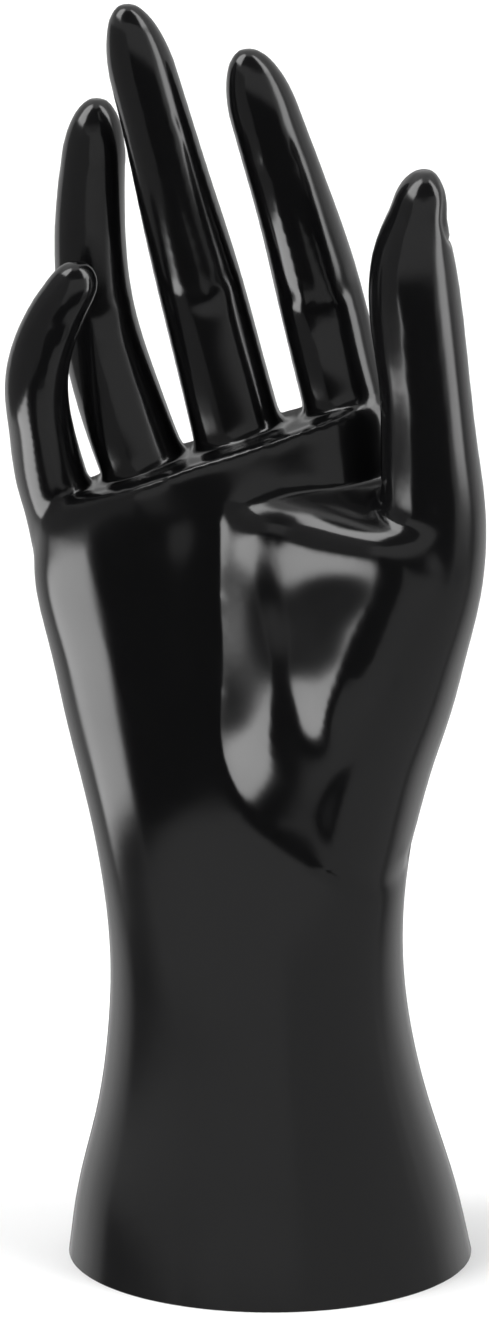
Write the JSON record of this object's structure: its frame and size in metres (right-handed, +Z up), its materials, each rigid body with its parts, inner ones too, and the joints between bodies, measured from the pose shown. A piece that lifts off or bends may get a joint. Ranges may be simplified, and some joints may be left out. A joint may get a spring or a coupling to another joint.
{
  "type": "jewelry display hand",
  "caption": "Glossy black display hand with parted upright fingers on a flared wrist, for showing rings, bracelets and watches.",
  "frame": {"origin": "centre of the flat underside of the flared wrist, on the bench", "axes": "+Z up along the hand towards the fingertips, -Y out of the palm, +X towards the thumb"},
  "size_m": [0.0906, 0.0674, 0.2509],
  "materials": {
    "black_gloss": "smooth high-gloss black moulding"
  },
  "bodies": {
    "root": {"display_hand": "black_gloss"}
  },
  "joints": []
}
